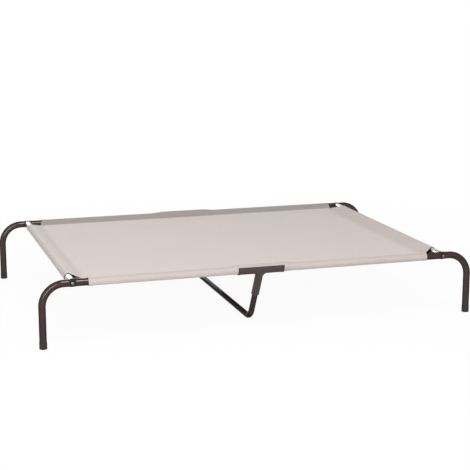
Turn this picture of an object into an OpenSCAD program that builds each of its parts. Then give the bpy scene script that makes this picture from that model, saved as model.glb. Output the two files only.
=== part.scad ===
// Raised dog cot: a bolted tube frame on four bent legs, a sling cover and a centre support.
// Millimetres. The origin is on the floor under the middle of the frame, +X along the cot,
// +Y towards its rear long side and +Z up.

/* [Frame tubes] */
// Distance between the leg axes along the cot
leg_span = 1500; // [1000:10:1800]
// Distance between the axes of the two long sides
side_span = 980; // [600:10:1150]
// Height of the rail axes above the floor
rail_h = 211; // [160:1:300]
// Outside diameter of the frame tube
tube_d = 24; // [20:0.5:30]
// Wall of the frame tube
tube_wall = 1.5; // [1.2:0.1:2]
// Radius of the leg bend, on the axis of the tube
bend_r = 73; // [55:1:90]
// Straight arm from the end of the bend to the corner bolt
arm_to_bolt = 26; // [22:1:60]
// Straight arm from the corner bolt to its shoulder in the sleeve
arm_past_bolt = 90; // [75:1:140]
// Length of the reduced spigots that plug into the next tube
spigot_len = 60; // [30:1:100]
// Gap all round between a spigot and the tube it plugs into
spigot_fit = 0.3; // [0.1:0.05:0.6]

/* [Corner joints] */
// Depth of the pressed flats on both sides of an arm at its bolt
press_depth = 3; // [2:0.1:4]
// Radius of the pressed flats, seen from above
press_r = 60; // [45:1:80]
// How far a pressed arm spreads above and below its bolt
press_spread = 1.2; // [0.6:0.1:2]
// Thread diameter of the corner bolts
bolt_d = 6; // [5:0.5:8]
// Length of a corner bolt past its nut
bolt_past_nut = 6; // [2:0.5:10]
// Diameter of the bolt head
head_d = 12; // [11:0.5:14]
// Height of the bolt head
head_h = 3.6; // [3:0.1:5]
// Radius of the domed top of the bolt head
dome_r = 11; // [9:0.5:16]
// Chamfer at the tip of a corner bolt
bolt_chamfer = 0.8; // [0.4:0.1:1.2]
// Width across the flats of the hex socket in the bolt head
socket_w = 4; // [3:0.5:5]
// Depth of the hex socket
socket_depth = 2; // [1.5:0.1:2.5]
// Outside diameter of the washer
washer_d = 18; // [13:0.5:18]
// Thickness of the washer
washer_t = 1.2; // [1:0.1:1.6]
// Width of a corner nut across its flats
nut_w = 10; // [9:0.5:11]
// Thickness of a corner nut
nut_t = 5; // [4:0.1:6]
// Flange of an end plug, between the arm and the short rail
plug_flange_t = 3; // [2:0.5:5]
// Plastic between the flange of an end plug and its nut
plug_web = 12; // [8:1:16]
// Length of an end plug past its nut
plug_tail = 11; // [6:1:20]

/* [Feet] */
// Height of a foot cap under the leg
foot_t = 22; // [4:0.5:26]
// How far a foot cap stands out round the leg
foot_lip = 0.7; // [0.2:0.1:4]
// Height of the stem of a foot cap inside the leg
foot_plug_h = 20; // [10:1:30]
// Rounding of the lower edge of a foot cap
foot_round = 1.5; // [0.5:0.1:1.8]

/* [Centre support] */
// Distance of the centre support from the middle of the cot
support_x = -18; // [-60:1:60]
// Length of the tee sleeve along the rail
tee_len = 160; // [120:1:220]
// Wall of the tee sleeve
tee_wall = 3.2; // [2.5:0.1:4]
// Height of the rims at the ends of the tee sleeve
tee_rim = 0.8; // [0.4:0.1:1.2]
// Width of those rims
tee_rim_w = 5; // [3:0.5:8]
// Length of the tee stem from the axis of the rail
stem_len = 112; // [80:1:130]
// Wall of the tee stem
stem_wall = 3.2; // [2.5:0.1:4]
// Radius of the webs between the sleeve and the stem
web_r = 11; // [6:0.5:16]
// Thickness of those webs
web_t = 12; // [6:1:18]
// Gap all round between a tee and the tube in it
tee_fit = 0.2; // [0.1:0.05:0.5]
// Outside diameter of the support tube
support_d = 20; // [16:0.5:22]
// Wall of the support tube
support_wall = 1.5; // [1:0.1:2]
// Lean of the support uprights towards the middle, from vertical
support_lean = 29; // [20:1:40]
// Radius of the support's floor bends, on the axis of the tube
support_bend_r = 60; // [40:1:80]
// Height of the support's floor run above the floor
support_lift = 5; // [1:0.5:12]
// Depth of the plastic between the rail and the end of the support tube
stem_floor = 3; // [2:0.5:6]

/* [Cover] */
// Thickness of the cover fabric
cover_t = 1; // [0.6:0.1:1.6]
// Gap between a sleeve and the tube in it
sleeve_fit = 0.3; // [0.2:0.05:0.6]
// Distance from the axis of a rail to the sleeve's seam
seam_reach = 42; // [32:1:60]
// Length of the panel's corner cuts along the cot
corner_cut_x = 9; // [3:1:40]
// Length of the panel's corner cuts across the cot
corner_cut_y = 36; // [10:1:60]
// Gap between a tee and the ends of the sleeves beside it
window_gap = 1; // [0.5:0.1:5]
// How far the flap over a tee hangs down its outer side, from the top
flap_angle = 50; // [20:1:65]

/* [Hidden] */
$fn = 64;
eps = 0.01;
// A tube swells a hair in its bends, and its straights run a little way into them
bend_swell = 0.3;
bend_lap = 1;
// Clearances all round, and the gap under an end plug's curved seat
hole_fit = 0.3;
washer_fit = 0.2;
thread_fit = 0.05;
seat_fit = 0.5;
plug_fit = 0.2;
nut_fit = 0.15;
plug_seat_gap = 0.05;
left = -1;
right = 1;
front = -1;
rear = 1;

leg_x = leg_span / 2;
side_y = side_span / 2;
tube_r = tube_d / 2;
bore_d = tube_d - 2 * tube_wall;
foot_d = tube_d + 2 * foot_lip;
spigot_d = bore_d - 2 * spigot_fit;
spigot_bore = spigot_d - 2 * tube_wall;

// Places along an arm, from the axis of its leg
bolt_x = bend_r + arm_to_bolt;
arm_len = bolt_x + arm_past_bolt;
rail_x = leg_x - bolt_x;
half_rail_len = leg_x - arm_len;

// Places along a corner bolt, from the axis of the arm towards the middle
seat_y = tube_r - press_depth;
bolt_hole_d = bolt_d + 2 * hole_fit;
washer_hole_d = bolt_d + 2 * washer_fit;
nut_hole_d = bolt_d + 2 * thread_fit;
seat_d = washer_d + 2 * seat_fit;
plug_d = bore_d - 2 * plug_fit;
rail_end_y = seat_y + plug_flange_t;
nut_y = rail_end_y + plug_web;
plug_len = plug_web + nut_t + plug_tail;
short_half_len = side_y - rail_end_y;
head_y = seat_y + washer_t;
bolt_len = head_y + nut_y + nut_t + bolt_past_nut;

// Tee and support
tee_bore = tube_d + 2 * tee_fit;
tee_d = tee_bore + 2 * tee_wall;
rim_d = tee_d + 2 * tee_rim;
stem_bore = support_d + 2 * tee_fit;
stem_d = stem_bore + 2 * stem_wall;
socket_start = tee_bore / 2 + stem_floor;
support_bore = support_d - 2 * support_wall;
support_z = support_lift + support_d / 2;
upright_len = (rail_h - support_z) / cos(support_lean);
floor_turn = 90 - support_lean;
bend_trim = support_bend_r * tan(floor_turn / 2);
corner_y = side_y - upright_len * sin(support_lean);
floor_y = corner_y - bend_trim;

// Cover
sleeve_in = tube_r + sleeve_fit;
panel_x = rail_x - seam_reach;
panel_y = side_y - seam_reach;
long_sleeve_x = panel_x - corner_cut_x;
short_sleeve_y = panel_y - corner_cut_y;
window_len = tee_len + 2 * window_gap;
// A loop's flanks leave its round part at this share of its radius, so that they cross it cleanly
flank_share = 0.995;
flap_in = rim_d / 2 + sleeve_fit;

frame_colour = [0.16, 0.13, 0.12];
plastic_colour = [0.13, 0.11, 0.105];
rubber_colour = [0.09, 0.09, 0.09];
steel_colour = [0.62, 0.62, 0.6];
fabric_colour = [0.8, 0.77, 0.75];

// Placing

// The front left corner's frame, at the foot of the leg's axis, set at any corner
module at_corner(end, side) {
    mirror([end > 0 ? 1 : 0, 0, 0])
        mirror([0, side > 0 ? 1 : 0, 0])
            translate([-leg_x, -side_y, 0])
                children();
}

// The front side's frame, mirrored to the rear
module at_side(side) {
    mirror([0, side > 0 ? 1 : 0, 0]) children();
}

// The left end's frame, mirrored to the right
module at_end(end) {
    mirror([end > 0 ? 1 : 0, 0, 0]) children();
}

// A corner bolt's frame: +Z runs along the bolt towards the middle of the cot from the arm's axis
module at_bolt(end, side) {
    at_corner(end, side)
        translate([bolt_x, 0, rail_h])
            rotate([-90, 0, 0])
                children();
}

// Shapes that repeat

// A rod along X
module rod_x(d, from, to) {
    translate([from, 0, 0]) rotate([0, 90, 0]) cylinder(d = d, h = to - from);
}

// A bend in the XZ plane, from straight up to along +X, about its own centre
module quarter_bend(r, d) {
    rotate([90, 0, 0])
        rotate([0, 0, 90])
            rotate_extrude(angle = 90)
                translate([r, 0])
                    circle(d = d);
}

// The solid along a leg's line, from a height above the floor to a length of arm
module leg_line(d, low, reach) {
    translate([0, 0, low]) cylinder(d = d, h = rail_h - bend_r - low + bend_lap);
    translate([bend_r, 0, rail_h - bend_r]) quarter_bend(bend_r, d + bend_swell);
    translate([0, 0, rail_h]) rod_x(d, bend_r - bend_lap, reach);
}

// The hollows that press an arm flat on both sides of its bolt
module press_scoops(r) {
    for (side = [-1, 1])
        translate([bolt_x, side * (seat_y + press_r), rail_h - tube_d])
            cylinder(r = r, h = 2 * tube_d, $fn = 128);
}

// The band of metal that a pressed arm spreads into, above and below its bolt
module spread_band() {
    translate([bolt_x, 0, rail_h]) rotate([0, 90, 0])
        rotate_extrude()
            intersection() {
                translate([tube_r + press_spread - press_r, 0]) circle(r = press_r, $fn = 128);
                translate([tube_r - tube_wall / 2, -press_r]) square([tube_d, 2 * press_r]);
            }
}

// The slope at which the flanks of a loop of cloth leave its round part, for a seam at a distance
function flank_angle(r, reach, t) =
    atan2(t / 2, reach) + acos(flank_share * r / norm([reach, t / 2]));

// The solid inside one face of a loop of cloth: round the tube, with flanks that meet at the tip
module loop_fill(r, angle, tip, len) {
    foot = flank_share * r * [cos(angle), sin(angle)];
    cylinder(r = r, h = len);
    linear_extrude(len)
        polygon([foot, each tip, [foot.x, -foot.y], [-r / 2, 0]]);
}

// A loop of cloth round a tube along Z, drawn in to a seam at a distance along +X
module loop(r, reach, t, len) {
    angle = flank_angle(r + t, reach, t);
    difference() {
        loop_fill(r + t, angle, [[reach, t / 2], [reach, -t / 2]], len);
        translate([0, 0, -eps])
            loop_fill(r, angle, [[flank_share * r / cos(angle), 0]], len + 2 * eps);
    }
}

// The frame of a loop on the front side: its seam lies towards the middle and its length along +X
module along_front(from) {
    translate([from, -side_y, rail_h]) rotate([90, 0, 90]) children();
}

// Frame

module leg(end, side) {
    color(frame_colour) at_corner(end, side)
        difference() {
            union() {
                difference() {
                    union() {
                        leg_line(tube_d, foot_t, arm_len);
                        spread_band();
                    }
                    press_scoops(press_r);
                }
                translate([0, 0, rail_h]) rod_x(spigot_d, arm_len - eps, arm_len + spigot_len);
            }
            difference() {
                leg_line(bore_d, foot_t - eps, arm_len - 2 * tube_wall);
                press_scoops(press_r + tube_wall);
            }
            translate([0, 0, rail_h])
                rod_x(spigot_bore, arm_len - 2 * tube_wall - eps, arm_len + spigot_len + eps);
            translate([bolt_x, 0, rail_h]) rotate([90, 0, 0])
                cylinder(d = bolt_hole_d, h = 2 * tube_d, center = true);
            translate([bolt_x, -seat_y, rail_h]) rotate([90, 0, 0])
                cylinder(d = seat_d, h = tube_d);
        }
}

module foot_cap(end, side) {
    color(rubber_colour) at_corner(end, side) {
        rotate_extrude() {
            difference() {
                square([foot_d / 2, foot_t]);
                translate([foot_d / 2 - foot_round, -eps]) square([foot_round + eps, foot_round + eps]);
            }
            intersection() {
                square([foot_d / 2, foot_t]);
                translate([foot_d / 2 - foot_round, foot_round]) circle(r = foot_round);
            }
        }
        translate([0, 0, foot_t - eps]) cylinder(d = plug_d, h = foot_plug_h + eps);
    }
}

// The left half of a long side is a plain tube, and the right half's spigot plugs into it
module long_rail(end, side) {
    color(frame_colour) at_side(side) translate([0, -side_y, rail_h])
        if (end == left)
            difference() {
                rod_x(tube_d, -half_rail_len, 0);
                rod_x(bore_d, -half_rail_len - eps, eps);
            }
        else
            difference() {
                union() {
                    rod_x(tube_d, 0, half_rail_len);
                    rod_x(spigot_d, -spigot_len, eps);
                }
                rod_x(bore_d, 2 * tube_wall, half_rail_len + eps);
                rod_x(spigot_bore, -spigot_len - eps, 2 * tube_wall + eps);
            }
}

module short_rail(end) {
    color(steel_colour) at_end(end) translate([-rail_x, 0, rail_h]) rotate([90, 0, 0])
        difference() {
            cylinder(d = tube_d, h = 2 * short_half_len, center = true);
            cylinder(d = bore_d, h = 2 * short_half_len + 2 * eps, center = true);
        }
}

// Corner joints

module end_plug(end, side) {
    color(plastic_colour) at_bolt(end, side)
        difference() {
            union() {
                intersection() {
                    translate([0, 0, seat_y - press_depth])
                        cylinder(d = tube_d, h = plug_flange_t + press_depth);
                    translate([0, -tube_d, seat_y + press_r]) rotate([-90, 0, 0])
                        cylinder(r = press_r - plug_seat_gap, h = 2 * tube_d, $fn = 128);
                }
                translate([0, 0, rail_end_y - eps]) cylinder(d = plug_d, h = plug_len + eps);
            }
            translate([0, 0, seat_y - press_depth])
                cylinder(d = bolt_hole_d, h = plug_len + plug_flange_t + 2 * press_depth);
            translate([0, 0, nut_y])
                cylinder(d = (nut_w + 2 * nut_fit) / cos(30), h = plug_len, $fn = 6);
        }
}

module corner_nut(end, side) {
    color(steel_colour) at_bolt(end, side) translate([0, 0, nut_y])
        difference() {
            cylinder(d = nut_w / cos(30), h = nut_t, $fn = 6);
            translate([0, 0, -eps]) cylinder(d = nut_hole_d, h = nut_t + 2 * eps);
        }
}

module washer(end, side) {
    color(plastic_colour) at_bolt(end, side) translate([0, 0, -head_y])
        difference() {
            cylinder(d = washer_d, h = washer_t);
            translate([0, 0, -eps]) cylinder(d = washer_hole_d, h = washer_t + 2 * eps);
        }
}

module corner_bolt(end, side) {
    color(plastic_colour) at_bolt(end, side) translate([0, 0, -head_y])
        difference() {
            union() {
                intersection() {
                    translate([0, 0, -head_h]) cylinder(d = head_d, h = head_h);
                    translate([0, 0, dome_r - head_h]) sphere(r = dome_r);
                }
                translate([0, 0, -eps]) cylinder(d = bolt_d, h = bolt_len - bolt_chamfer + eps);
                translate([0, 0, bolt_len - bolt_chamfer])
                    cylinder(d1 = bolt_d, d2 = bolt_d - 2 * bolt_chamfer, h = bolt_chamfer);
            }
            translate([0, 0, -head_h - eps])
                cylinder(d = socket_w / cos(30), h = socket_depth + eps, $fn = 6);
        }
}

// Centre support

// A tee's frame: +Z runs down along the stem from the axis of the rail
module at_tee(side) {
    at_side(side)
        translate([support_x, -side_y, rail_h])
            rotate([180 + support_lean, 0, 0])
                children();
}

module tee_webs() {
    for (end = [-1, 1])
        mirror([end > 0 ? 1 : 0, 0, 0])
            translate([stem_d / 2 - eps, 0, tee_d / 2 - web_r / 2])
                rotate([90, 0, 0])
                    linear_extrude(web_t, center = true)
                        difference() {
                            square([web_r, web_r * 1.5]);
                            translate([web_r, web_r * 1.5]) circle(r = web_r);
                        }
}

module tee(side) {
    color(plastic_colour) at_tee(side)
        difference() {
            union() {
                rod_x(tee_d, -tee_len / 2, tee_len / 2);
                rod_x(rim_d, -tee_len / 2, tee_rim_w - tee_len / 2);
                rod_x(rim_d, tee_len / 2 - tee_rim_w, tee_len / 2);
                cylinder(d = stem_d, h = stem_len);
                tee_webs();
            }
            rod_x(tee_bore, -tee_len, tee_len);
            translate([0, 0, socket_start]) cylinder(d = stem_bore, h = stem_len);
        }
}

// The solid along the support's line, from inside one tee over the floor to the other
module support_line(d, start) {
    for (side = [front, rear]) {
        at_tee(side) translate([0, 0, start])
            cylinder(d = d, h = upright_len - bend_trim - start + bend_lap);
        at_side(side)
            translate([support_x, -floor_y, support_z + support_bend_r])
                rotate([0, 90, 0])
                    rotate([0, 0, -floor_turn])
                        rotate_extrude(angle = floor_turn)
                            translate([support_bend_r, 0])
                                circle(d = d + bend_swell);
    }
    translate([support_x, -floor_y - bend_lap, support_z])
        rotate([-90, 0, 0])
            cylinder(d = d, h = 2 * (floor_y + bend_lap));
}

module centre_support() {
    color(frame_colour)
        difference() {
            support_line(support_d, socket_start);
            support_line(support_bore, socket_start - eps);
        }
}

// Cover

module cover_panel() {
    color(fabric_colour) translate([0, 0, rail_h - cover_t / 2])
        linear_extrude(cover_t)
            polygon([
                for (end = [left, right])
                    for (p = [
                        [long_sleeve_x, -panel_y],
                        [panel_x, -short_sleeve_y],
                        [panel_x, short_sleeve_y],
                        [long_sleeve_x, panel_y]
                    ])
                        end * p
            ]);
}

module long_sleeve(end, side) {
    from = end == left ? -long_sleeve_x : support_x + window_len / 2;
    to = end == left ? support_x - window_len / 2 : long_sleeve_x;
    color(fabric_colour) at_side(side)
        along_front(from) loop(sleeve_in, seam_reach, cover_t, to - from);
}

module short_sleeve(end) {
    color(fabric_colour) at_end(end)
        translate([-rail_x, short_sleeve_y, rail_h])
            rotate([90, 0, 0])
                loop(sleeve_in, seam_reach, cover_t, 2 * short_sleeve_y);
}

// The upper ply of the hem runs on over each tee, and hangs free on its outer side
module tee_flap(side) {
    far = 2 * seam_reach;
    color(fabric_colour) at_side(side)
        along_front(support_x - window_len / 2)
            intersection() {
                loop(flap_in, seam_reach, cover_t, window_len);
                linear_extrude(window_len)
                    polygon([[0, 0], [far, 0], [far, far], [-far * tan(flap_angle), far]]);
            }
}

leg(left, front);  // leg_front_left
leg(right, front);  // leg_front_right
leg(left, rear);  // leg_rear_left
leg(right, rear);  // leg_rear_right
foot_cap(left, front);  // foot_cap_front_left
foot_cap(right, front);  // foot_cap_front_right
foot_cap(left, rear);  // foot_cap_rear_left
foot_cap(right, rear);  // foot_cap_rear_right
long_rail(left, front);  // long_rail_front_left
long_rail(right, front);  // long_rail_front_right
long_rail(left, rear);  // long_rail_rear_left
long_rail(right, rear);  // long_rail_rear_right
short_rail(left);  // short_rail_left
short_rail(right);  // short_rail_right
end_plug(left, front);  // end_plug_front_left
end_plug(right, front);  // end_plug_front_right
end_plug(left, rear);  // end_plug_rear_left
end_plug(right, rear);  // end_plug_rear_right
corner_nut(left, front);  // corner_nut_front_left
corner_nut(right, front);  // corner_nut_front_right
corner_nut(left, rear);  // corner_nut_rear_left
corner_nut(right, rear);  // corner_nut_rear_right
washer(left, front);  // washer_front_left
washer(right, front);  // washer_front_right
washer(left, rear);  // washer_rear_left
washer(right, rear);  // washer_rear_right
corner_bolt(left, front);  // corner_bolt_front_left
corner_bolt(right, front);  // corner_bolt_front_right
corner_bolt(left, rear);  // corner_bolt_rear_left
corner_bolt(right, rear);  // corner_bolt_rear_right
tee(front);  // tee_front
tee(rear);  // tee_rear
centre_support();
cover_panel();
long_sleeve(left, front);  // sleeve_front_left
long_sleeve(right, front);  // sleeve_front_right
long_sleeve(left, rear);  // sleeve_rear_left
long_sleeve(right, rear);  // sleeve_rear_right
short_sleeve(left);  // sleeve_left
short_sleeve(right);  // sleeve_right
tee_flap(front);  // tee_flap_front
tee_flap(rear);  // tee_flap_rear
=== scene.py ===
import math
import bpy
from mathutils import Matrix, Quaternion, Vector, noise


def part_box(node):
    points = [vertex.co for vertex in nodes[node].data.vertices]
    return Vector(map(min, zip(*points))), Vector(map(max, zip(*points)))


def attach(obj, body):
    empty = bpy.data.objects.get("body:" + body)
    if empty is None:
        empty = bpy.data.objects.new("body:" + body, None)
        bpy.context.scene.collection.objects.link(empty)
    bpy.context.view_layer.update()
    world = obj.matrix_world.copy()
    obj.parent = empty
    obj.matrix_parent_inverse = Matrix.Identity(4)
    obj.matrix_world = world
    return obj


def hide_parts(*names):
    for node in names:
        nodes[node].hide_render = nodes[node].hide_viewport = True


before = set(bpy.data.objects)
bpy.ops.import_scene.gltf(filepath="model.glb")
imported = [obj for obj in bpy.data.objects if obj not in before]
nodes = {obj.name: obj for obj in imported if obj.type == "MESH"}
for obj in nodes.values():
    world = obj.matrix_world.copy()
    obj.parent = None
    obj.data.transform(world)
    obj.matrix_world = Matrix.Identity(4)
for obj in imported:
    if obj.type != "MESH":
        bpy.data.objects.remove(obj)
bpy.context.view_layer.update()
corners = ("front_left", "front_right", "rear_left", "rear_right")
print("frame loaded:", len(nodes), "nodes")


# the camera stands front left of the cot and looks a little down
cameraView = {
    "place": (-1.3188, -4.3371, 1.1949),
    "azimuth": -17.486,
    "elevation": 12.072,
    "roll": 0.019,
    "focalPixels": 1251.1,
    "framePixels": 470,
    "sensor": 36,
    "clipEnd": 100,
}


def addCamera():
    turn = math.radians(cameraView["azimuth"])
    rise = math.radians(cameraView["elevation"])
    roll = math.radians(cameraView["roll"])
    back = Vector((math.sin(turn) * math.cos(rise), -math.cos(turn) * math.cos(rise), math.sin(rise)))
    level = Vector((math.cos(turn), math.sin(turn), 0))
    upright = back.cross(level)
    right = level * math.cos(roll) + upright * math.sin(roll)
    up = upright * math.cos(roll) - level * math.sin(roll)
    lens = bpy.data.cameras.new("camera")
    lens.sensor_width = cameraView["sensor"]
    lens.lens = cameraView["focalPixels"] * cameraView["sensor"] / cameraView["framePixels"]
    lens.clip_end = cameraView["clipEnd"]
    camera = bpy.data.objects.new("camera", lens)
    bpy.context.scene.collection.objects.link(camera)
    facing = Matrix((right, up, back)).transposed().to_4x4()
    camera.matrix_world = Matrix.Translation(cameraView["place"]) @ facing
    bpy.context.scene.camera = camera


addCamera()
print("camera placed")


def middle(node):
    low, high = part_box(node)
    return (low + high) / 2


# material helpers
noiseSpan = (0.3, 0.7)         # most values of a noise lie between these


def startMaterial(name):
    material = bpy.data.materials.new(name)
    material.use_nodes = True
    return material, material.node_tree, material.node_tree.nodes["Principled BSDF"]


def addNode(tree, kind, inputs=None, **settings):
    node = tree.nodes.new(kind)
    for setting, value in settings.items():
        setattr(node, setting, value)
    for socket, value in (inputs or {}).items():
        if isinstance(value, bpy.types.NodeSocket):
            tree.links.new(value, node.inputs[socket])
        else:
            node.inputs[socket].default_value = value
    return node


def addMath(tree, operation, first, second=0.0):
    return addNode(tree, "ShaderNodeMath", {0: first, 1: second}, operation=operation).outputs[0]


def addNoise(tree, place, scale, detail):
    settings = {"Vector": place, "Scale": scale, "Detail": detail}
    return addNode(tree, "ShaderNodeTexNoise", settings).outputs["Fac"]


def addStretch(tree, place, scales):
    return addNode(tree, "ShaderNodeVectorMath", {0: place, 1: scales}, operation="MULTIPLY").outputs[0]


def addRange(tree, value, low, high, newLow, newHigh):
    limits = {"Value": value, "From Min": low, "From Max": high, "To Min": newLow, "To Max": newHigh}
    return addNode(tree, "ShaderNodeMapRange", limits).outputs[0]


def addMix(tree, share, first, second):
    mix = addNode(tree, "ShaderNodeMix", data_type="RGBA")
    for socket, value in ((0, share), (6, first), (7, second)):
        if isinstance(value, bpy.types.NodeSocket):
            tree.links.new(value, mix.inputs[socket])
        else:
            mix.inputs[socket].default_value = value
    return mix.outputs[2]


def addBump(tree, shader, height, distance):
    bump = addNode(tree, "ShaderNodeBump", {"Height": height, "Distance": distance, "Strength": 1.0})
    tree.links.new(bump.outputs["Normal"], shader.inputs["Normal"])


# floor, backdrop and studio light
studio = {
    "floorSize": 80,
    "floorColour": (0.92, 0.92, 0.92, 1),
    "floorGlow": (0.94, 1.0),  # how much of the floor is plain white to the camera, near and far
    "glowReach": (0.9, 2.4),
    "skyLight": 0.46,
    "lamps": {
        "topBox": {
            "place": (-0.2, -1.8, 2.9), "aim": (0, 0, 0.2),
            "size": (0.8, 0.8), "spin": 0, "power": 39,
        },
        "keyStrip": {
            "place": (-2.41, -4.34, 1.81), "aim": (-0.7, -0.5, 0.2),
            "size": (0.42, 2.9), "spin": -45, "power": 118,
        },
        "lowRearStrip": {
            "place": (-0.6, 4.4, 1.5), "aim": (0, 0, 0.2),
            "size": (3.4, 0.3), "spin": 0, "power": 40,
        },
    },
}


def seenDirectly(tree):
    path = addNode(tree, "ShaderNodeLightPath").outputs
    mirrored = addMath(tree, "MAXIMUM", path["Is Glossy Ray"], path["Is Transmission Ray"])
    return addMath(tree, "MAXIMUM", path["Is Camera Ray"], mirrored)


def addFloor():
    half = studio["floorSize"] / 2
    plane = bpy.data.meshes.new("floor")
    rim = [(-half, -half, 0), (half, -half, 0), (half, half, 0), (-half, half, 0)]
    plane.from_pydata(rim, [], [(0, 1, 2, 3)])
    floor = bpy.data.objects.new("floor", plane)
    bpy.context.scene.collection.objects.link(floor)
    material, tree, shader = startMaterial("paleFloor")
    shader.inputs["Base Color"].default_value = studio["floorColour"]
    shader.inputs["Roughness"].default_value = 1.0
    shader.inputs["Specular IOR Level"].default_value = 0.0
    glow = addNode(tree, "ShaderNodeEmission", {"Color": (1, 1, 1, 1), "Strength": 1.0})
    place = addNode(tree, "ShaderNodeTexCoord").outputs["Object"]
    away = addNode(tree, "ShaderNodeVectorMath", {0: place}, operation="LENGTH").outputs["Value"]
    white = addRange(tree, away, *studio["glowReach"], *studio["floorGlow"])
    share = addMath(tree, "MULTIPLY", seenDirectly(tree), white)
    mix = addNode(tree, "ShaderNodeMixShader", {0: share, 1: shader.outputs[0], 2: glow.outputs[0]})
    tree.links.new(mix.outputs[0], tree.nodes["Material Output"].inputs["Surface"])
    plane.materials.append(material)


def addSky():
    world = bpy.data.worlds.new("studioSky")
    bpy.context.scene.world = world
    world.use_nodes = True
    tree = world.node_tree
    sky = tree.nodes["Background"]
    sky.inputs["Color"].default_value = (1, 1, 1, 1)
    strength = addRange(tree, seenDirectly(tree), 0, 1, studio["skyLight"], 1.0)
    tree.links.new(strength, sky.inputs["Strength"])


def addLamps():
    for name, lamp in studio["lamps"].items():
        light = bpy.data.lights.new(name, "AREA")
        light.shape = "RECTANGLE"
        light.size, light.size_y = lamp["size"]
        light.energy = lamp["power"]
        holder = bpy.data.objects.new(name, light)
        bpy.context.scene.collection.objects.link(holder)
        holder.location = lamp["place"]
        ray = Vector(lamp["aim"]) - Vector(lamp["place"])
        spin = Quaternion((0, 0, 1), math.radians(lamp["spin"]))
        holder.rotation_euler = (ray.to_track_quat("-Z", "Y") @ spin).to_euler()


addFloor()
addSky()
addLamps()
bpy.context.scene.view_settings.view_transform = "Standard"
print("studio lit with", len(studio["lamps"]), "lamps")


# satin powder coat of the tubes
powderCoat = {
    "colour": (0.021, 0.0115, 0.0105, 1),
    "worn": (0.027, 0.016, 0.0145, 1),
    "specular": (0.52, 0.008), # where the coat faces the eye, and where it turns away
    "facing": (0.08, 0.5),     # how far it has turned at each of these
    "specularTint": (1.0, 0.82, 0.80, 1),
    "roughness": (0.14, 0.20),
    "driftScale": 14,          # slow change of tone and gloss, per metre
    "wornSpan": (0.42, 0.7),
    "dust": (0.16, 0.145, 0.135, 1),
    "dustHeight": 0.012,       # dust gathers this far above the floor
    "dustShare": 0.15,
    "speckScale": 180,
    "speckSpan": (0.35, 0.65),
    "grainScale": 900,         # orange peel
    "grainDepth": 0.000005,
}


def makePowderCoat():
    material, tree, shader = startMaterial("satinPowderCoat")
    shader.inputs["Specular Tint"].default_value = powderCoat["specularTint"]
    facing = addNode(tree, "ShaderNodeLayerWeight", {"Blend": 0.5}).outputs["Facing"]
    shine = addRange(tree, facing, *powderCoat["facing"], *powderCoat["specular"])
    tree.links.new(shine, shader.inputs["Specular IOR Level"])
    place = addNode(tree, "ShaderNodeTexCoord").outputs["Object"]
    height = addNode(tree, "ShaderNodeSeparateXYZ", {0: place}).outputs["Z"]
    drift = addNoise(tree, place, powderCoat["driftScale"], detail=4)
    speck = addNoise(tree, place, powderCoat["speckScale"], detail=3)
    wear = addRange(tree, drift, *powderCoat["wornSpan"], 0, 1)
    colour = addMix(tree, wear, powderCoat["colour"], powderCoat["worn"])
    low = addRange(tree, height, 0, powderCoat["dustHeight"], powderCoat["dustShare"], 0)
    dusty = addMath(tree, "MULTIPLY", low, addRange(tree, speck, *powderCoat["speckSpan"], 0, 1))
    colour = addMix(tree, dusty, colour, powderCoat["dust"])
    tree.links.new(colour, shader.inputs["Base Color"])
    rough = addRange(tree, drift, *noiseSpan, *powderCoat["roughness"])
    tree.links.new(addMath(tree, "ADD", rough, dusty), shader.inputs["Roughness"])
    grain = addNoise(tree, place, powderCoat["grainScale"], detail=1)
    addBump(tree, shader, grain, powderCoat["grainDepth"])
    return material


# moulded tee and end plugs: fine spark texture
mouldedPlastic = {
    "teeColour": (0.050, 0.035, 0.033, 1),
    "teePale": (0.060, 0.044, 0.041, 1),
    "specular": 0.25,
    "plugColour": (0.026, 0.024, 0.023, 1),
    "plugPale": (0.04, 0.037, 0.035, 1),
    "roughness": (0.48, 0.62),
    "flowScale": 26,           # marks of the melt's flow, per metre
    "paleSpan": (0.35, 0.7),
    "sparkScale": 1400,
    "sparkDepth": 0.00007,
}


def makeMouldedPlastic(name, colour, pale):
    material, tree, shader = startMaterial(name)
    shader.inputs["Specular IOR Level"].default_value = mouldedPlastic["specular"]
    place = addNode(tree, "ShaderNodeTexCoord").outputs["Object"]
    flow = addNoise(tree, place, mouldedPlastic["flowScale"], detail=3)
    spark = addNoise(tree, place, mouldedPlastic["sparkScale"], detail=2)
    shade = addMix(tree, addRange(tree, flow, *mouldedPlastic["paleSpan"], 0, 1), colour, pale)
    tree.links.new(shade, shader.inputs["Base Color"])
    rough = addRange(tree, spark, *noiseSpan, *mouldedPlastic["roughness"])
    tree.links.new(rough, shader.inputs["Roughness"])
    addBump(tree, shader, spark, mouldedPlastic["sparkDepth"])
    return material


# rubber of the foot caps
footRubber = {
    "colour": (0.024, 0.019, 0.018, 1),
    "specular": 0.33,
    "scuffed": (0.085, 0.08, 0.076, 1),
    "scuffHeight": 0.004,
    "scuffShare": 0.7,
    "scuffScale": 160,
    "roughness": (0.62, 0.82),
    "grainScale": 650,
    "grainDepth": 0.00008,
}


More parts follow.
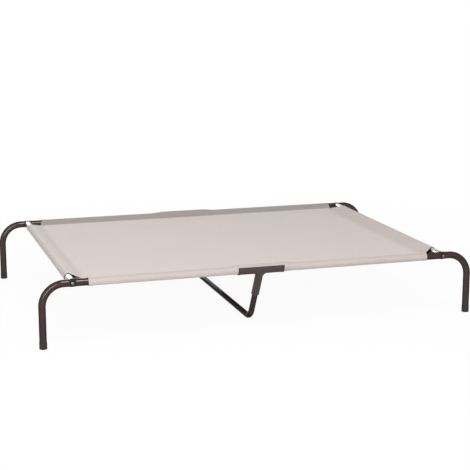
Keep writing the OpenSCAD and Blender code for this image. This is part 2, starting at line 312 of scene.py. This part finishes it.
def makeFootRubber():
    material, tree, shader = startMaterial("footRubber")
    shader.inputs["Specular IOR Level"].default_value = footRubber["specular"]
    place = addNode(tree, "ShaderNodeTexCoord").outputs["Object"]
    height = addNode(tree, "ShaderNodeSeparateXYZ", {0: place}).outputs["Z"]
    grain = addNoise(tree, place, footRubber["grainScale"], detail=3)
    low = addRange(tree, height, 0, footRubber["scuffHeight"], footRubber["scuffShare"], 0)
    scuff = addMath(tree, "MULTIPLY", low, addNoise(tree, place, footRubber["scuffScale"], detail=3))
    colour = addMix(tree, scuff, footRubber["colour"], footRubber["scuffed"])
    tree.links.new(colour, shader.inputs["Base Color"])
    rough = addRange(tree, grain, *noiseSpan, *footRubber["roughness"])
    tree.links.new(rough, shader.inputs["Roughness"])
    addBump(tree, shader, grain, footRubber["grainDepth"])
    return material


# plated steel: black washers, bolts with a painted highlight round the socket, bright nuts and
# galvanised short rails
plating = {
    "blackZinc": {
        "colour": (0.014, 0.013, 0.013, 1),
        "rubbed": (0.03, 0.028, 0.027, 1),
        "roughness": (0.40, 0.55),
        "metallic": 0.85,
    },
    "highlitBoltZinc": {
        "colour": (0.030, 0.027, 0.026, 1),
        # the lighter colour serves both the rubbed streaks and the painted highlight round the socket
        "rubbed": (0.20, 0.185, 0.178, 1),
        "roughness": (0.24, 0.36),
        "metallic": 1.0,
        "highlightReach": (0.0046, 0.0060),  # painted highlight: the head is lighter within this reach of the socket
    },
    "brightZinc": {
        "colour": (0.58, 0.57, 0.54, 1),
        "rubbed": (0.72, 0.71, 0.69, 1),
        "roughness": (0.22, 0.38),
        "metallic": 1.0,
    },
    "galvanised": {
        "colour": (0.40, 0.39, 0.38, 1),
        "rubbed": (0.50, 0.49, 0.48, 1),
        "roughness": (0.22, 0.38),
        "metallic": 1.0,
    },
}
platingStreaks = {"scale": 420, "depth": 0.00002, "rubbedSpan": (0.55, 0.8)}


def fromBoltAxis(tree, place):
    axis = middle("corner_bolt_rear_right")
    spot = addNode(tree, "ShaderNodeSeparateXYZ", {0: place}).outputs
    across = addMath(tree, "SUBTRACT", addMath(tree, "ABSOLUTE", spot["X"]), axis.x)
    up = addMath(tree, "SUBTRACT", spot["Z"], axis.z)
    acrossSquare = addMath(tree, "MULTIPLY", across, across)
    upSquare = addMath(tree, "MULTIPLY", up, up)
    return addMath(tree, "SQRT", addMath(tree, "ADD", acrossSquare, upSquare))


def makePlating(name):
    finish = plating[name]
    material, tree, shader = startMaterial(name)
    shader.inputs["Metallic"].default_value = finish["metallic"]
    place = addNode(tree, "ShaderNodeTexCoord").outputs["Object"]
    rub = addNoise(tree, place, platingStreaks["scale"], detail=4)
    wearAndHighlight = addRange(tree, rub, *platingStreaks["rubbedSpan"], 0, 1)
    if "highlightReach" in finish:
        # painted highlight: the bolt head turns lighter round its socket
        paintedHighlight = addRange(tree, fromBoltAxis(tree, place), *finish["highlightReach"], 1, 0)
        wearAndHighlight = addMath(tree, "MAXIMUM", wearAndHighlight, paintedHighlight)
    shade = addMix(tree, wearAndHighlight, finish["colour"], finish["rubbed"])
    tree.links.new(shade, shader.inputs["Base Color"])
    rough = addRange(tree, rub, *noiseSpan, *finish["roughness"])
    tree.links.new(rough, shader.inputs["Roughness"])
    addBump(tree, shader, rub, platingStreaks["depth"])
    return material


def dress(material, *names):
    for name in names:
        slots = nodes[name].data.materials
        slots.clear()
        slots.append(material)


def named(stem, ends=corners):
    return [stem + "_" + end for end in ends]


longSides, shortSides = ("front", "rear"), ("left", "right")
dress(makePowderCoat(), *named("leg"), *named("long_rail"), "centre_support")
teePlastic = makeMouldedPlastic("teePlastic", mouldedPlastic["teeColour"], mouldedPlastic["teePale"])
dress(teePlastic, *named("tee", longSides))
plugPlastic = makeMouldedPlastic("plugPlastic", mouldedPlastic["plugColour"], mouldedPlastic["plugPale"])
dress(plugPlastic, *named("end_plug"))
dress(makeFootRubber(), *named("foot_cap"))
dress(makePlating("blackZinc"), *named("washer"))
dress(makePlating("highlitBoltZinc"), *named("corner_bolt"))
dress(makePlating("brightZinc"), *named("corner_nut"))
dress(makePlating("galvanised"), *named("short_rail", shortSides))
print("frame dressed")


# coated woven cloth of the cover
coatedWeave = {
    "panelColour": (0.672, 0.588, 0.556, 1),
    "railAndShadeColour": (0.380, 0.335, 0.320, 1),      # where a rail shows through, and painted shade on the sleeves
    "gapPaintedShade": 0.80,           # painted shade in the holes between the yarns
    "gapReach": 0.45,
    "yarnPitch": 0.0013,
    "yarnDepth": 0.00016,
    "slubScale": (9, 420),     # along a yarn and across it, per metre
    "cloudScale": 5,
    "streak": 0.05,
    "streakSpan": (0.9, 2.1),
    "roughness": (0.78, 0.62), # between the yarns and on them
    "specular": 0.35,
    "sheen": 0.12,
    "sheenRoughness": 0.45,
}


def makeCoatedWeave():
    material, tree, shader = startMaterial("coatedWeave")
    shader.inputs["Sheen Weight"].default_value = coatedWeave["sheen"]
    shader.inputs["Sheen Roughness"].default_value = coatedWeave["sheenRoughness"]
    shader.inputs["Specular IOR Level"].default_value = coatedWeave["specular"]
    cut = addNode(tree, "ShaderNodeAttribute", attribute_name="clothPlace").outputs["Vector"]
    railShowAndShade = addNode(tree, "ShaderNodeAttribute", attribute_name="railShowAndShade").outputs["Fac"]
    axes = addNode(tree, "ShaderNodeSeparateXYZ", {0: cut}).outputs
    phase = math.pi / coatedWeave["yarnPitch"]
    warp = addMath(tree, "SINE", addMath(tree, "MULTIPLY", axes["X"], phase))
    weft = addMath(tree, "SINE", addMath(tree, "MULTIPLY", axes["Y"], phase))
    warpOver = addMath(tree, "GREATER_THAN", addMath(tree, "MULTIPLY", warp, weft), 0.0)
    warpRound = addMath(tree, "ABSOLUTE", warp)
    weftRound = addMath(tree, "ABSOLUTE", weft)
    warpLong = addMath(tree, "MULTIPLY", warpRound, addMath(tree, "SQRT", weftRound))
    weftLong = addMath(tree, "MULTIPLY", weftRound, addMath(tree, "SQRT", warpRound))
    lift = addMath(tree, "SUBTRACT", warpLong, weftLong)
    yarns = addMath(tree, "ADD", weftLong, addMath(tree, "MULTIPLY", lift, warpOver))
    # slubs run along both yarns, and the coating clouds a little
    long, fine = coatedWeave["slubScale"]
    alongX = addNoise(tree, addStretch(tree, cut, (long, fine, 1)), 1, detail=2)
    alongY = addNoise(tree, addStretch(tree, cut, (fine, long, 1)), 1, detail=2)
    slubs = addMath(tree, "ADD", alongX, alongY)
    clouds = addNoise(tree, cut, coatedWeave["cloudScale"], detail=3)
    uneven = addMath(tree, "ADD", slubs, clouds)
    tones = (1 - coatedWeave["streak"], 1 + coatedWeave["streak"])
    tone = addRange(tree, uneven, *coatedWeave["streakSpan"], *tones)
    # the cloth darkens where a rail shows through and where shade is painted on the sleeves
    colour = addMix(tree, railShowAndShade, coatedWeave["panelColour"], coatedWeave["railAndShadeColour"])
    # painted shade in the holes between the yarns, times the random tone
    holes = addRange(tree, yarns, 0, coatedWeave["gapReach"], coatedWeave["gapPaintedShade"], 1)
    tint = addMath(tree, "MULTIPLY", tone, holes)
    shade = addNode(tree, "ShaderNodeVectorMath", {0: colour}, operation="SCALE")
    tree.links.new(tint, shade.inputs["Scale"])
    tree.links.new(shade.outputs[0], shader.inputs["Base Color"])
    rough = addRange(tree, yarns, 0, 1, *coatedWeave["roughness"])
    tree.links.new(rough, shader.inputs["Roughness"])
    addBump(tree, shader, yarns, coatedWeave["yarnDepth"])
    return material


# polyester thread of its seams
twistedThread = {
    "colour": (0.70, 0.64, 0.61, 1),
    "dark": (0.56, 0.50, 0.475, 1),
    "roughness": (0.45, 0.65),
    "sheen": 0.2,
    "plyScale": 2600,
    "plyDepth": 0.00008,
}


def makeThread():
    material, tree, shader = startMaterial("seamThread")
    shader.inputs["Sheen Weight"].default_value = twistedThread["sheen"]
    place = addNode(tree, "ShaderNodeTexCoord").outputs["Object"]
    ply = addNoise(tree, place, twistedThread["plyScale"], detail=2)
    shade = addMix(tree, ply, twistedThread["dark"], twistedThread["colour"])
    tree.links.new(shade, shader.inputs["Base Color"])
    rough = addRange(tree, ply, *noiseSpan, *twistedThread["roughness"])
    tree.links.new(rough, shader.inputs["Roughness"])
    addBump(tree, shader, ply, twistedThread["plyDepth"])
    return material


# the sewn cover: one cut of cloth, looped round every rail and hemmed under the panel
cover = {
    "thickness": 0.0008,
    "panelStep": 0.010,        # widest mesh step on the panel
    "flankSteps": 6,           # mesh steps from a seam up to its rail
    "topSteps": 8,             # mesh steps over a rail, to where the tee flaps end
    "roundSteps": 16,          # mesh steps on round it
    "turnedUnder": 0.016,      # seam allowance under the panel
    "underSteps": 2,
    "underGap": 1.2,           # how far it hangs below the panel, in thicknesses
    "endHem": 0.013,           # folded hem at each end of a sleeve
    "hemRise": 0.0007,
    "hemStep": 0.0006,
    "cornerCut": 0.004,        # the panel's corners, at the seams
    "taperReach": 0.11,        # the sleeves' ends slant in over this length
    "teeReach": 0.050,         # the sleeves rise to a tee over this length
    # how far the long sleeves' ends have crept out along their rails
    "creep": {"front_left": 0.0, "front_right": -0.012, "rear_left": -0.004, "rear_right": 0.010},
    # how much a rail shows through, together with painted shade on the sleeves: at the seam, over the
    # rail and round its outside
    "showThroughAndShade": {
        "front": (0.40, 0.48, 0.48),
        "rear": (1.0, 1.0, 0.55),
        "left": (0.22, 0.0, 0.52),
        "right": (0.40, 0.42, 0.42),
    },
    "tintReach": {"front": 0.003, "rear": 0.010, "left": 0.016, "right": 0.045},
    "sag": 0.005,              # dip at the middle of the panel
    "pucker": 0.00035,         # gathers along the seams
    "puckerSpacing": 0.034,
    "puckerReach": 0.03,
    "puckerDrift": 4.8,        # how unevenly they are spaced
    "driftScale": 9,
    "driftSeed": 0.3,
    "seamSeed": {"long": 1, "short": 2},
    "crease": 0.0024,          # folds that fan out of the corners
    "creaseStart": 0.02,
    "creaseLength": 0.14,
    "creaseFan": 7.0,
    "creaseTurn": 4,           # how much the fans differ from corner to corner
    "creaseSeed": (3, 5, 0.7),
    "ripple": 0.0003,          # unevenness of the sleeves
    "rippleScale": (16, 40, 0.21),  # along a sleeve, outward and for each mesh step round it
    "rippleSeed": {"long": 3, "short": 7},
    "seamEase": 0.03,          # the seams' waves run this far on into the sleeves
    "sharpAngle": 38,
}
tiny = 1e-6


def smooth(share):
    share = min(1.0, max(0.0, share))
    return share * share * (3 - 2 * share)


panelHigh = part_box("cover_panel")[1]
seamX, seamY, clothZ = panelHigh.x, panelHigh.y, middle("cover_panel").z
longReach = middle("long_rail_rear_left").y - seamY        # from a seam out to its rail
shortReach = middle("short_rail_right").x - seamX
sleeveLow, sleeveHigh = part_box("sleeve_rear_left")
longEnd, shortEnd = -sleeveLow.x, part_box("sleeve_right")[1].y
longSeamEnd, shortSeamEnd = seamX - cover["cornerCut"], seamY - cover["cornerCut"]
windowLeft, windowRight = sleeveHigh.x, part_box("sleeve_rear_right")[0].x
halfCloth = cover["thickness"] / 2
underGap = cover["thickness"] * cover["underGap"]
sleeveRadius = (sleeveHigh.z - sleeveLow.z) / 2 - halfCloth
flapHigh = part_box("tee_flap_rear")[1]
flapRadius = flapHigh.z - clothZ - halfCloth
flapEdge = math.degrees(math.acos((flapHigh.y - seamY - longReach) / (flapRadius + halfCloth)))

# the four sides: way out from the middle, along X or not, half length at the seam, reach to the rail
sides = {
    "front": (-1, True, longSeamEnd, longReach),
    "rear": (1, True, longSeamEnd, longReach),
    "left": (-1, False, shortSeamEnd, shortReach),
    "right": (1, False, shortSeamEnd, shortReach),
}


def ticks(stops, step):
    places = [stops[0]]
    for start, stop in zip(stops, stops[1:]):
        count = max(1, math.ceil((stop - start) / step - tiny))
        places += [start + (stop - start) * k / count for k in range(1, count + 1)]
    return places


def hemStops(start, stop):
    inner = cover["endHem"]
    edge = inner - cover["hemStep"]
    return [start, start + edge, start + inner, stop - inner, stop - edge, stop]


def gathers(along, fromSeam, seed):
    spot = Vector((along * cover["driftScale"], seed, cover["driftSeed"]))
    drift = cover["puckerDrift"] * noise.noise(spot)
    wave = math.sin(2 * math.pi * along / cover["puckerSpacing"] + drift)
    return cover["pucker"] * wave * math.exp(-fromSeam / cover["puckerReach"])


def cornerFolds(x, y):
    dx, dy = seamX - abs(x), seamY - abs(y)
    away = math.hypot(dx, dy)
    if away < tiny:
        return 0
    fan = math.atan2(dy, dx)
    seedX, seedY, seedZ = cover["creaseSeed"]
    seed = Vector((math.copysign(seedX, x), math.copysign(seedY, y), seedZ))
    turn = noise.noise(seed) * cover["creaseTurn"]
    fold = math.sin(fan * cover["creaseFan"] + turn) * math.sin(2 * fan)
    fade = math.exp(-away / cover["creaseLength"]) * (1 - math.exp(-away / cover["creaseStart"]))
    return cover["crease"] * fold * fade


def panelHeight(x, y):
    dip = cover["sag"] * (1 - (x / seamX) ** 2) * (1 - (y / seamY) ** 2)
    longLift = gathers(x, seamY - abs(y), math.copysign(cover["seamSeed"]["long"], y))
    shortLift = gathers(y, seamX - abs(x), math.copysign(cover["seamSeed"]["short"], x))
    return clothZ - dip + (longLift + shortLift) + cornerFolds(x, y)


# how far the end of a sleeve slants along its rail, from its seam to the top of the rail
def endSlant(side, place):
    way, alongX, seamEnd, reach = sides[side]
    end = "right" if place > 0 else "left"
    railEnd = longEnd + cover["creep"][side + "_" + end] if alongX else shortEnd
    near = smooth(1 - (seamEnd - abs(place)) / cover["taperReach"])
    return math.copysign(1, place) * (railEnd - seamEnd) * near


def overTee(side, place):
    if not sides[side][1]:
        return 0.0
    outside = max(windowLeft - place, place - windowRight)
    return smooth(1 - outside / cover["teeReach"])


def hemmed(side, place):
    way, alongX, seamEnd, reach = sides[side]
    fold = cover["endHem"] - cover["hemStep"] / 2
    atEnd = seamEnd - abs(place) < fold
    atTee = alongX and 0 <= max(windowLeft - place, place - windowRight) < fold
    return atEnd, atTee


# a line of cloth as (outward, up, along): from the seam, round the rail and back under the panel
def loopPath(side, place):
    way, alongX, seamEnd, reach = sides[side]
    atEnd, atTee = hemmed(side, place)
    rise = (flapRadius - sleeveRadius) * overTee(side, place)
    top = sleeveRadius + rise + (cover["hemRise"] if atEnd else 0)
    low = sleeveRadius + (cover["hemRise"] if atEnd or atTee else 0)
    slant = endSlant(side, place)
    lean = math.asin(top / reach)
    length = math.sqrt(reach ** 2 - top ** 2)
    path = []
    for k in range(1, cover["flankSteps"] + 1):
        share = k / cover["flankSteps"]
        step = length * share
        path.append((step * math.cos(lean), step * math.sin(lean), slant * share))
    start = 90 + math.degrees(lean)
    for k in range(1, cover["topSteps"] + 1):
        angle = math.radians(start + (flapEdge - start) * k / cover["topSteps"])
        path.append((reach + top * math.cos(angle), top * math.sin(angle), slant))
    if alongX and windowLeft + tiny < place < windowRight - tiny:
        return path
    underLean = math.asin(low / reach)
    stop = -90 - math.degrees(underLean)
    for k in range(1, cover["roundSteps"] + 1):
        share = k / cover["roundSteps"]
        angle = math.radians(flapEdge + (stop - flapEdge) * share)
        radius = top + (low - top) * smooth(share * 2)
        path.append((reach + radius * math.cos(angle), radius * math.sin(angle), slant))
    length = math.sqrt(reach ** 2 - low ** 2)
    for k in range(cover["flankSteps"] - 1, -1, -1):
        share = k / cover["flankSteps"]
        step = length * share
        down = -step * math.sin(underLean) - underGap * (1 - share)
        path.append((step * math.cos(underLean), down, slant * share))
    for k in range(1, cover["underSteps"] + 1):
        path.append((-cover["turnedUnder"] * k / cover["underSteps"], -underGap, 0))
    return path


def pathLength(path):
    points = [(0, 0, 0)] + path
    return sum(math.dist(a[:2], b[:2]) for a, b in zip(points, points[1:]))


class ClothMesh:
    def __init__(self):
        self.points, self.faces, self.cut, self.railShowAndShade = [], [], [], []

    def add(self, point, cut, railShowAndShade):
        self.points.append(point)
        self.cut.append((cut[0], cut[1], 0.0))
        self.railShowAndShade.append(railShowAndShade)
        return len(self.points) - 1

    def quad(self, a, b, c, d, flip):
        self.faces.append((d, c, b, a) if flip else (a, b, c, d))


# the rails' show-through and the painted shade fade out over the panel
def panelTint(x, y):
    fromSeams = {"front": seamY + y, "rear": seamY - y, "left": seamX + x, "right": seamX - x}
    tints = []
    for side, far in fromSeams.items():
        tints.append(cover["showThroughAndShade"][side][0] * smooth(1 - far / cover["tintReach"][side]))
    return max(tints)


# the panel: a grid with its four corners cut off
def addPanel(cloth, xs, ys):
    grid = {}
    lastX, lastY = len(xs) - 1, len(ys) - 1
    for i, x in enumerate(xs):
        for j, y in enumerate(ys):
            if i in (0, lastX) and j in (0, lastY):
                continue
            grid[i, j] = cloth.add((x, y, panelHeight(x, y)), (x, y), panelTint(x, y))
    for i in range(lastX):
        for j in range(lastY):
            ring = [(i, j), (i + 1, j), (i + 1, j + 1), (i, j + 1)]
            cloth.faces.append(tuple(grid[key] for key in ring if key in grid))
    return grid


# a strip of cloth along one side of the panel, with the tees' windows left open
def addStrip(cloth, grid, side, places):
    way, alongX, seamEnd, reach = sides[side]
    seam = seamY if alongX else seamX
    seamTint, railTint, outerPaintedShade = cover["showThroughAndShade"][side]
    rippleAlong, rippleOut, rippleStep = cover["rippleScale"]
    seed = way * cover["rippleSeed"]["long" if alongX else "short"]
    edge = max(key[1 if alongX else 0] for key in grid) if way > 0 else 0
    before = None
    for index, place in enumerate(places):
        if abs(place) > seamEnd + tiny:
            continue
        row = [grid[(index, edge) if alongX else (edge, index)]]
        seamLift = cloth.points[row[0]][2] - clothZ
        travelled, last = 0.0, (0.0, 0.0)
        for k, (out, high, slant) in enumerate(loopPath(side, place)):
            travelled += math.dist(last, (out, high))
            last = (out, high)
            along = place + slant
            spot = (along, way * (seam + out)) if alongX else (way * (seam + out), along)
            if out <= tiny:
                z = panelHeight(*spot) + high
            else:
                ease = max(0.0, 1 - travelled / cover["seamEase"]) if k < cover["flankSteps"] else 0.0
                wave = noise.noise(Vector((place * rippleAlong, out * rippleOut + k * rippleStep, seed)))
                z = clothZ + high + seamLift * ease + cover["ripple"] * wave
            flat = way * (seam + travelled)
            cut = (along, flat) if alongX else (flat, along)
            # painted shade on the sleeves' flanks and round their outside, with the rail showing through
            tint = seamTint + (railTint - seamTint) * smooth(out / reach)
            if k >= cover["flankSteps"]:
                over = (k + 1 - cover["flankSteps"]) / cover["topSteps"]
                tint = railTint + (outerPaintedShade - railTint) * smooth(over)
            row.append(cloth.add((spot[0], spot[1], z), cut, tint))
        if before is not None:
            for a, b, c, d in zip(before, row, row[1:], before[1:]):
                cloth.quad(a, b, c, d, (way > 0) != alongX)
        before = row


def makeCover():
    step = cover["panelStep"]
    xStops = [-seamX, *hemStops(-longSeamEnd, windowLeft), *hemStops(windowRight, longSeamEnd), seamX]
    yStops = [-seamY, *hemStops(-shortSeamEnd, shortSeamEnd), seamY]
    xs, ys = ticks(xStops, step), ticks(yStops, step)
    cloth = ClothMesh()
    grid = addPanel(cloth, xs, ys)
    for side in sides:
        addStrip(cloth, grid, side, xs if sides[side][1] else ys)
    mesh = bpy.data.meshes.new("sling_cover")
    mesh.from_pydata(cloth.points, [], cloth.faces)
    places = mesh.attributes.new("clothPlace", "FLOAT_VECTOR", "POINT")
    places.data.foreach_set("vector", [value for cut in cloth.cut for value in cut])
    tones = mesh.attributes.new("railShowAndShade", "FLOAT", "POINT")
    tones.data.foreach_set("value", cloth.railShowAndShade)
    sling = bpy.data.objects.new("sling_cover", mesh)
    bpy.context.scene.collection.objects.link(sling)
    thicken = sling.modifiers.new("cloth", "SOLIDIFY")
    thicken.thickness = cover["thickness"]
    thicken.offset = 0
    bpy.context.view_layer.update()
    whole = bpy.data.meshes.new_from_object(sling.evaluated_get(bpy.context.evaluated_depsgraph_get()))
    sling.modifiers.clear()
    sling.data = whole
    whole.polygons.foreach_set("use_smooth", [True] * len(whole.polygons))
    whole.set_sharp_from_angle(angle=math.radians(cover["sharpAngle"]))
    whole.materials.append(makeCoatedWeave())
    return sling


sling = makeCover()
print("cover sewn:", len(sling.data.polygons), "faces")


# lockstitch rows: each stitch a small pointed lozenge of thread
thread = {
    "pitch": 0.0054,
    "length": 0.0042,
    "width": 0.0008,
    "height": 0.0005,
    "rows": (0.004, 0.012),    # from the seam in over the panel
    "hemRow": 0.010,           # from a sleeve's end
    "rowGap": 0.003,           # rows stop short of an edge
    "tackLength": 0.010,       # bar tacks at the sleeve ends
    "tackWidth": 0.0064,
    "tackInset": 0.008,
    "tackStitches": 9,
    "waist": 0.3,              # a stitch is full this far from its middle, as a share of its length
    "sunk": 0.6,               # and goes this far into the cloth, as a share of its height
}


class ThreadMesh:
    def __init__(self):
        self.points, self.faces = [], []

    # two rings of four points between two tips
    def stitch(self, centre, along, up, length, width):
        side = along.cross(up).normalized()
        base = len(self.points)
        high = up * thread["height"]
        ends = along * (length / 2)
        waist = along * (length * thread["waist"])
        self.points.append(centre - ends)
        for shift in (-waist, waist):
            for offset in (side * width / 2, high, -side * width / 2, -high * thread["sunk"]):
                self.points.append(centre + shift + offset)
        self.points.append(centre + ends)
        for k in range(4):
            after = (k + 1) % 4
            self.faces.append((base, base + 1 + after, base + 1 + k))
            self.faces.append((base + 1 + k, base + 1 + after, base + 5 + after, base + 5 + k))
            self.faces.append((base + 5 + k, base + 5 + after, base + 9))

    def row(self, spotAt, length):
        count = int(length / thread["pitch"])
        spare = (length - count * thread["pitch"]) / 2
        for k in range(count):
            centre, along, up = spotAt(spare + (k + 0.5) * thread["pitch"])
            self.stitch(centre, along, up, thread["length"], thread["width"])


# a place on the panel's top or underside, with the way that the seam runs
def panelSpot(x, y, along, face):
    under = 0 if face > 0 else underGap
    z = panelHeight(x, y) + face * halfCloth - under
    return Vector((x, y, z)), along, Vector((0, 0, face))


# a place that far along a line of cloth, on its outer face
def loopSpot(side, place, path, travelled):
    way, alongX, seamEnd, reach = sides[side]
    points = [(0.0, 0.0, 0.0)] + path
    for (out, high, slant), (nextOut, nextHigh, nextSlant) in zip(points, points[1:]):
        span = math.dist((out, high), (nextOut, nextHigh))
        if travelled <= span or (nextOut, nextHigh, nextSlant) == points[-1]:
            break
        travelled -= span
    share = travelled / span
    tangent = ((nextOut - out) / span, (nextHigh - high) / span, (nextSlant - slant) / span)
    level = (seamY if alongX else seamX) + out + (nextOut - out) * share
    along = place + slant + (nextSlant - slant) * share
    z = clothZ + high + (nextHigh - high) * share

    def turned(outward, up, sideways):
        return Vector((sideways, way * outward, up)) if alongX else Vector((way * outward, sideways, up))
    centre = Vector((along, way * level, z)) if alongX else Vector((way * level, along, z))
    outer = turned(-tangent[1], tangent[0], 0)
    return centre + outer * halfCloth, turned(*tangent).normalized(), outer


def sewSeams(sewn):
    acrossX, acrossY = Vector((1, 0, 0)), Vector((0, 1, 0))
    for inset in thread["rows"]:
        for way in (-1, 1):
            for face in (1, -1):
                y = way * (seamY - inset)
                sewn.row(lambda s: panelSpot(s - longSeamEnd, y, acrossX, face), 2 * longSeamEnd)
                x = way * (seamX - inset)
                sewn.row(lambda s: panelSpot(x, s - shortSeamEnd, acrossY, face), 2 * shortSeamEnd)


def sewHems(sewn):
    for side, (way, alongX, seamEnd, reach) in sides.items():
        rows = [seamEnd - thread["hemRow"], thread["hemRow"] - seamEnd]
        if alongX:
            rows += [windowLeft - thread["hemRow"], windowRight + thread["hemRow"]]
        for place in rows:
            path = loopPath(side, place)[:-1 - cover["underSteps"]]
            sewn.row(lambda s: loopSpot(side, place, path, s), pathLength(path) - thread["rowGap"])
        if alongX:
            def flapSpot(s):
                place = windowLeft + thread["rowGap"] + s
                path = loopPath(side, place)
                centre, along, up = loopSpot(side, place, path, pathLength(path) - thread["hemRow"])
                return centre, Vector((1, 0, 0)), up
            sewn.row(flapSpot, windowRight - windowLeft - 2 * thread["rowGap"])


# bar tacks across the seams, at each end of a sleeve
def sewTacks(sewn):
    step = thread["tackLength"] / thread["tackStitches"]
    for side, (way, alongX, seamEnd, reach) in sides.items():
        ends = [(-seamEnd, 1), (seamEnd, -1)]
        if alongX:
            ends += [(windowLeft, -1), (windowRight, 1)]
        level = way * ((seamY if alongX else seamX) - thread["tackInset"])
        for end, inward in ends:
            for k in range(thread["tackStitches"]):
                place = end + inward * (thread["rowGap"] + k * step)
                spot = (place, level) if alongX else (level, place)
                across = Vector((0, 1, 0)) if alongX else Vector((1, 0, 0))
                centre, along, up = panelSpot(*spot, across, 1)
                sewn.stitch(centre, along, up, thread["tackWidth"], thread["width"])


def makeStitching():
    sewn = ThreadMesh()
    sewSeams(sewn)
    sewHems(sewn)
    sewTacks(sewn)
    mesh = bpy.data.meshes.new("seam_stitching")
    mesh.from_pydata(sewn.points, [], sewn.faces)
    mesh.polygons.foreach_set("use_smooth", [True] * len(mesh.polygons))
    mesh.materials.append(makeThread())
    stitching = bpy.data.objects.new("seam_stitching", mesh)
    bpy.context.scene.collection.objects.link(stitching)
    return stitching


stitching = makeStitching()
print("seams stitched:", len(stitching.data.polygons), "faces")

sleeves = [*named("sleeve"), *named("sleeve", shortSides)]
coverNodes = ["cover_panel", *sleeves, *named("tee_flap", longSides)]
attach(sling, "frame")
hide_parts(*coverNodes)
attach(stitching, "frame")

# the flat cut: the panel with a strip on every side for its loop and hem
plain = (windowRight + longEnd) / 2                        # a place between a tee and a sleeve's end
longLoop, shortLoop = pathLength(loopPath("front", plain)), pathLength(loopPath("left", 0))
flapLength = pathLength(loopPath("front", (windowLeft + windowRight) / 2))
windowWidth = windowRight - windowLeft
flatArea = 4 * seamX * seamY + 2 * (shortSeamEnd + shortEnd) * shortLoop
flatArea += 2 * ((longSeamEnd + longEnd - windowWidth) * longLoop + windowWidth * flapLength)
